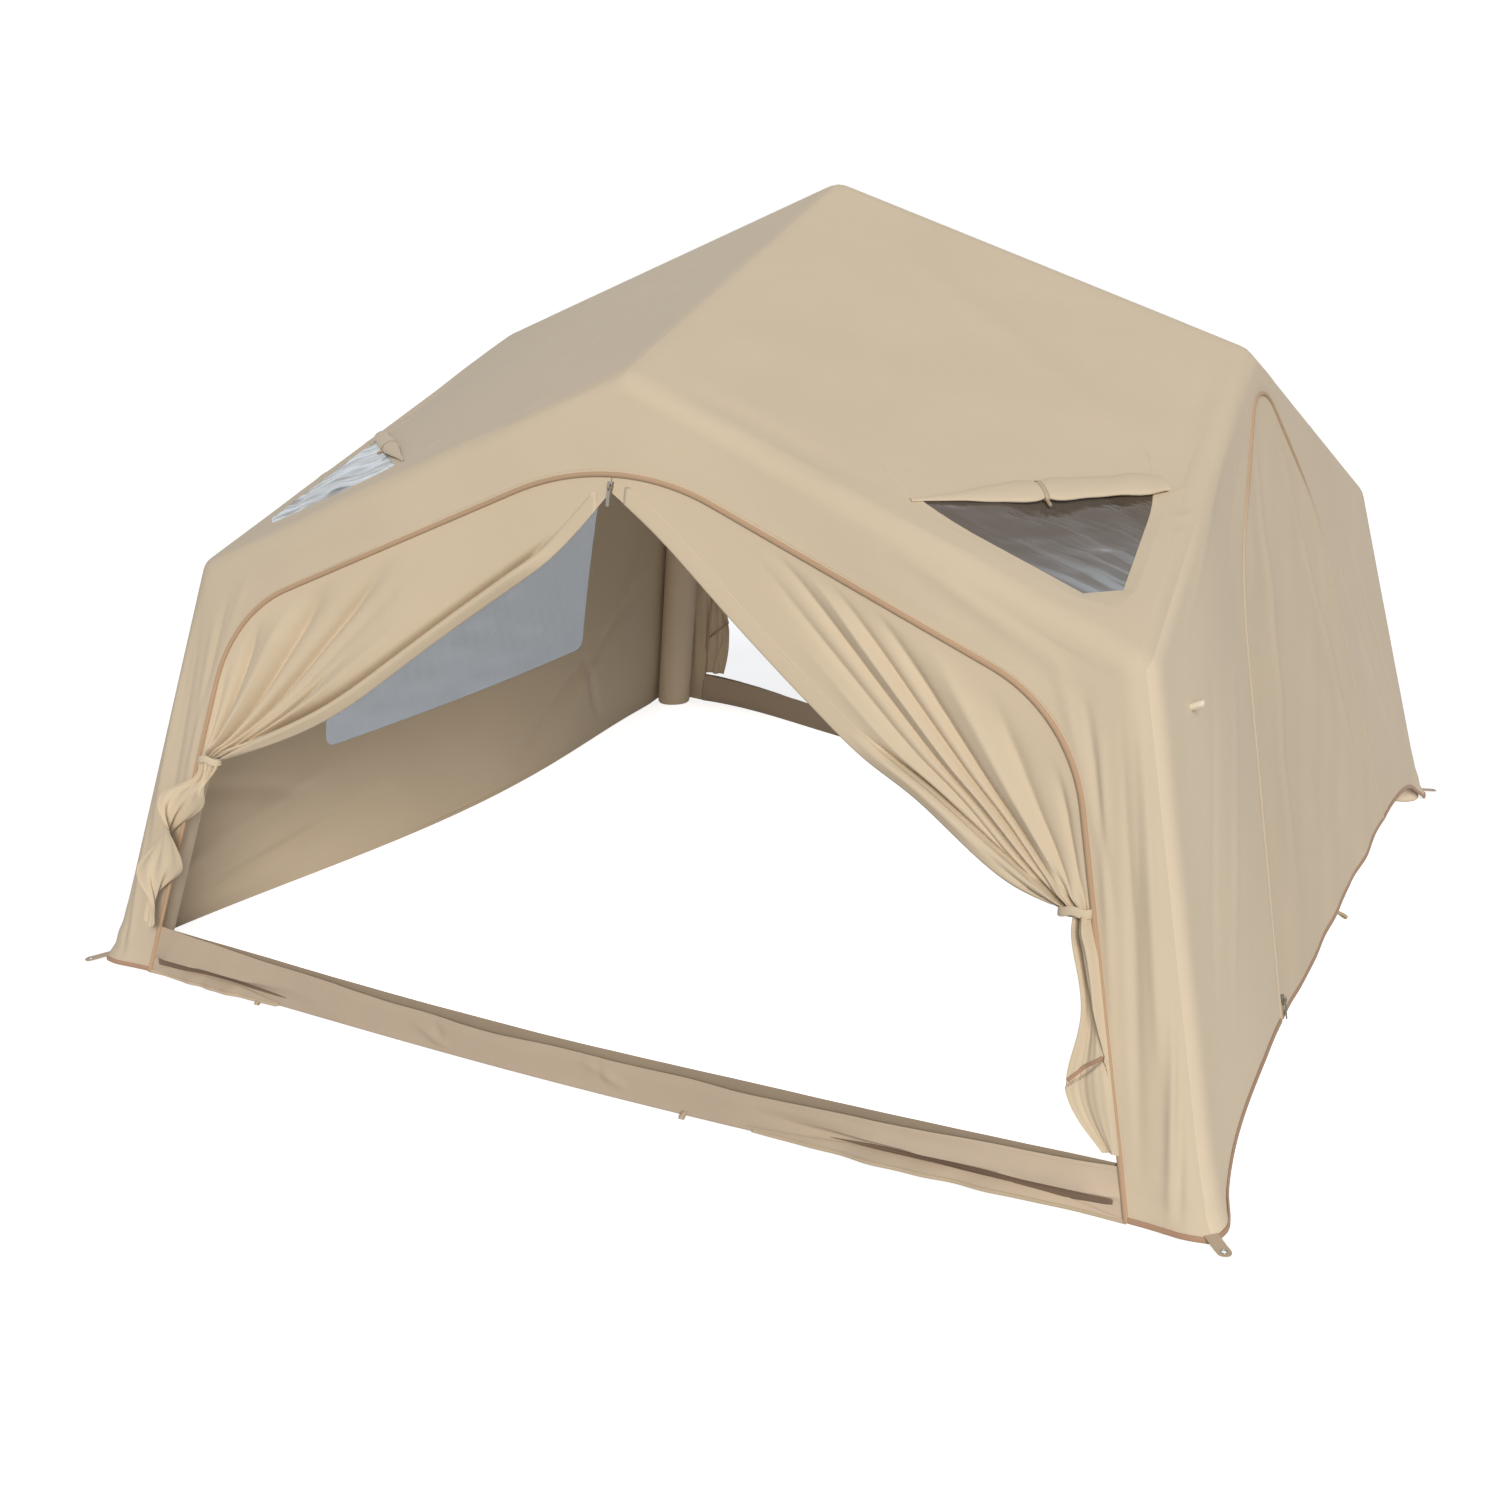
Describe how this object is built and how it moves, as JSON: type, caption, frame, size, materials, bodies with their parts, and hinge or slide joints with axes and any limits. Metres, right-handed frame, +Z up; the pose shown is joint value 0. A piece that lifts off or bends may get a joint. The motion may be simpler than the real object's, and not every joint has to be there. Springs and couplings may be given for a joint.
{
  "type": "lounge tent",
  "caption": "Square lounge tent on an inflated beam frame: leaning walls, kite roof with film windows, arched doors front and back with curtains tied open.",
  "frame": {"origin": "middle of the square footprint, on the floor, straight under the apex", "axes": "+Z up; -Y out of the front door, +X towards the closed right door"},
  "size_m": [3.0782, 3.0782, 1.9945],
  "materials": {
    "canvas": "matte",
    "curtain_canvas": "matte",
    "beam_sleeve": "matte",
    "piping": "matte",
    "webbing": "matte",
    "clear_film": "gloss",
    "zip_metal": "satin",
    "valve_plastic": "matte"
  },
  "bodies": {
    "tent": {"back_arch_piping": "piping", "back_curtain_left": "curtain_canvas", "back_curtain_right": "curtain_canvas", "back_sill": "canvas", "back_tie_strap_left": "webbing", "back_tie_strap_right": "webbing", "back_wall": "canvas", "back_zip_slider": "zip_metal", "eave_beam_back_side_left": "beam_sleeve", "eave_beam_back_side_right": "beam_sleeve", "eave_beam_front_side_left": "beam_sleeve", "eave_beam_front_side_right": "beam_sleeve", "eave_beam_left_side_back": "beam_sleeve", "eave_beam_left_side_front": "beam_sleeve", "eave_beam_right_side_back": "beam_sleeve", "eave_beam_right_side_front": "beam_sleeve", "front_arch_piping": "piping", "front_curtain_left": "curtain_canvas", "front_curtain_right": "curtain_canvas", "front_sill": "canvas", "front_tie_strap_left": "webbing", "front_tie_strap_right": "webbing", "front_wall": "canvas", "front_zip_slider": "zip_metal", "inflation_valve": "valve_plastic", "left_wall": "canvas", "left_window_film": "clear_film", "leg_beam_back_left": "beam_sleeve", "leg_beam_back_right": "beam_sleeve", "leg_beam_front_left": "beam_sleeve", "leg_beam_front_right": "beam_sleeve", "peg_tab_back_left": "webbing", "peg_tab_back_right": "webbing", "peg_tab_front_left": "webbing", "peg_tab_front_right": "webbing", "ridge_beam_back": "beam_sleeve", "ridge_beam_front": "beam_sleeve", "ridge_beam_left": "beam_sleeve", "ridge_beam_right": "beam_sleeve", "right_arch_piping": "piping", "right_door_panel": "curtain_canvas", "right_wall": "canvas", "roof_panel_back_left": "canvas", "roof_panel_back_right": "canvas", "roof_panel_front_left": "canvas", "roof_panel_front_right": "canvas", "roof_window_cover_back_left": "curtain_canvas", "roof_window_cover_back_right": "curtain_canvas", "roof_window_cover_front_left": "curtain_canvas", "roof_window_cover_front_right": "curtain_canvas", "roof_window_film_back_left": "clear_film", "roof_window_film_back_right": "clear_film", "roof_window_film_front_left": "clear_film", "roof_window_film_front_right": "clear_film"},
    "right_slider": {"right_zip_slider": "zip_metal"},
    "right_pull": {"right_zip_pull": "zip_metal"},
    "front_pull": {"front_zip_pull": "zip_metal"},
    "back_pull": {"back_zip_pull": "zip_metal"},
    "cap": {"valve_cap": "valve_plastic"}
  },
  "joints": [
    {"name": "right_zip_travel", "type": "slide", "parent": "tent", "child": "right_slider", "axis": [-0.2147, 0.2767, 0.9366], "range_m": [0, 0.807]},
    {"name": "right_pull_swing", "type": "hinge", "parent": "right_slider", "child": "right_pull", "pos_m": [1.46689, -0.73015, 0.18249], "axis": [-0.0618, -0.9609, 0.2697], "range_deg": [0, 175]},
    {"name": "front_pull_swing", "type": "hinge", "parent": "tent", "child": "front_pull", "pos_m": [0, -1.20322, 1.33262], "axis": [-1, 0, 0], "range_deg": [0, 175]},
    {"name": "back_pull_swing", "type": "hinge", "parent": "tent", "child": "back_pull", "pos_m": [0, 1.20322, 1.33262], "axis": [1, 0, 0], "range_deg": [0, 175]},
    {"name": "valve_cap_turn", "type": "hinge", "parent": "tent", "child": "cap", "pos_m": [1.28992, 1.28992, 0.39995], "axis": [-0.6726, -0.6726, -0.3084], "range_deg": [0, 540]}
  ]
}
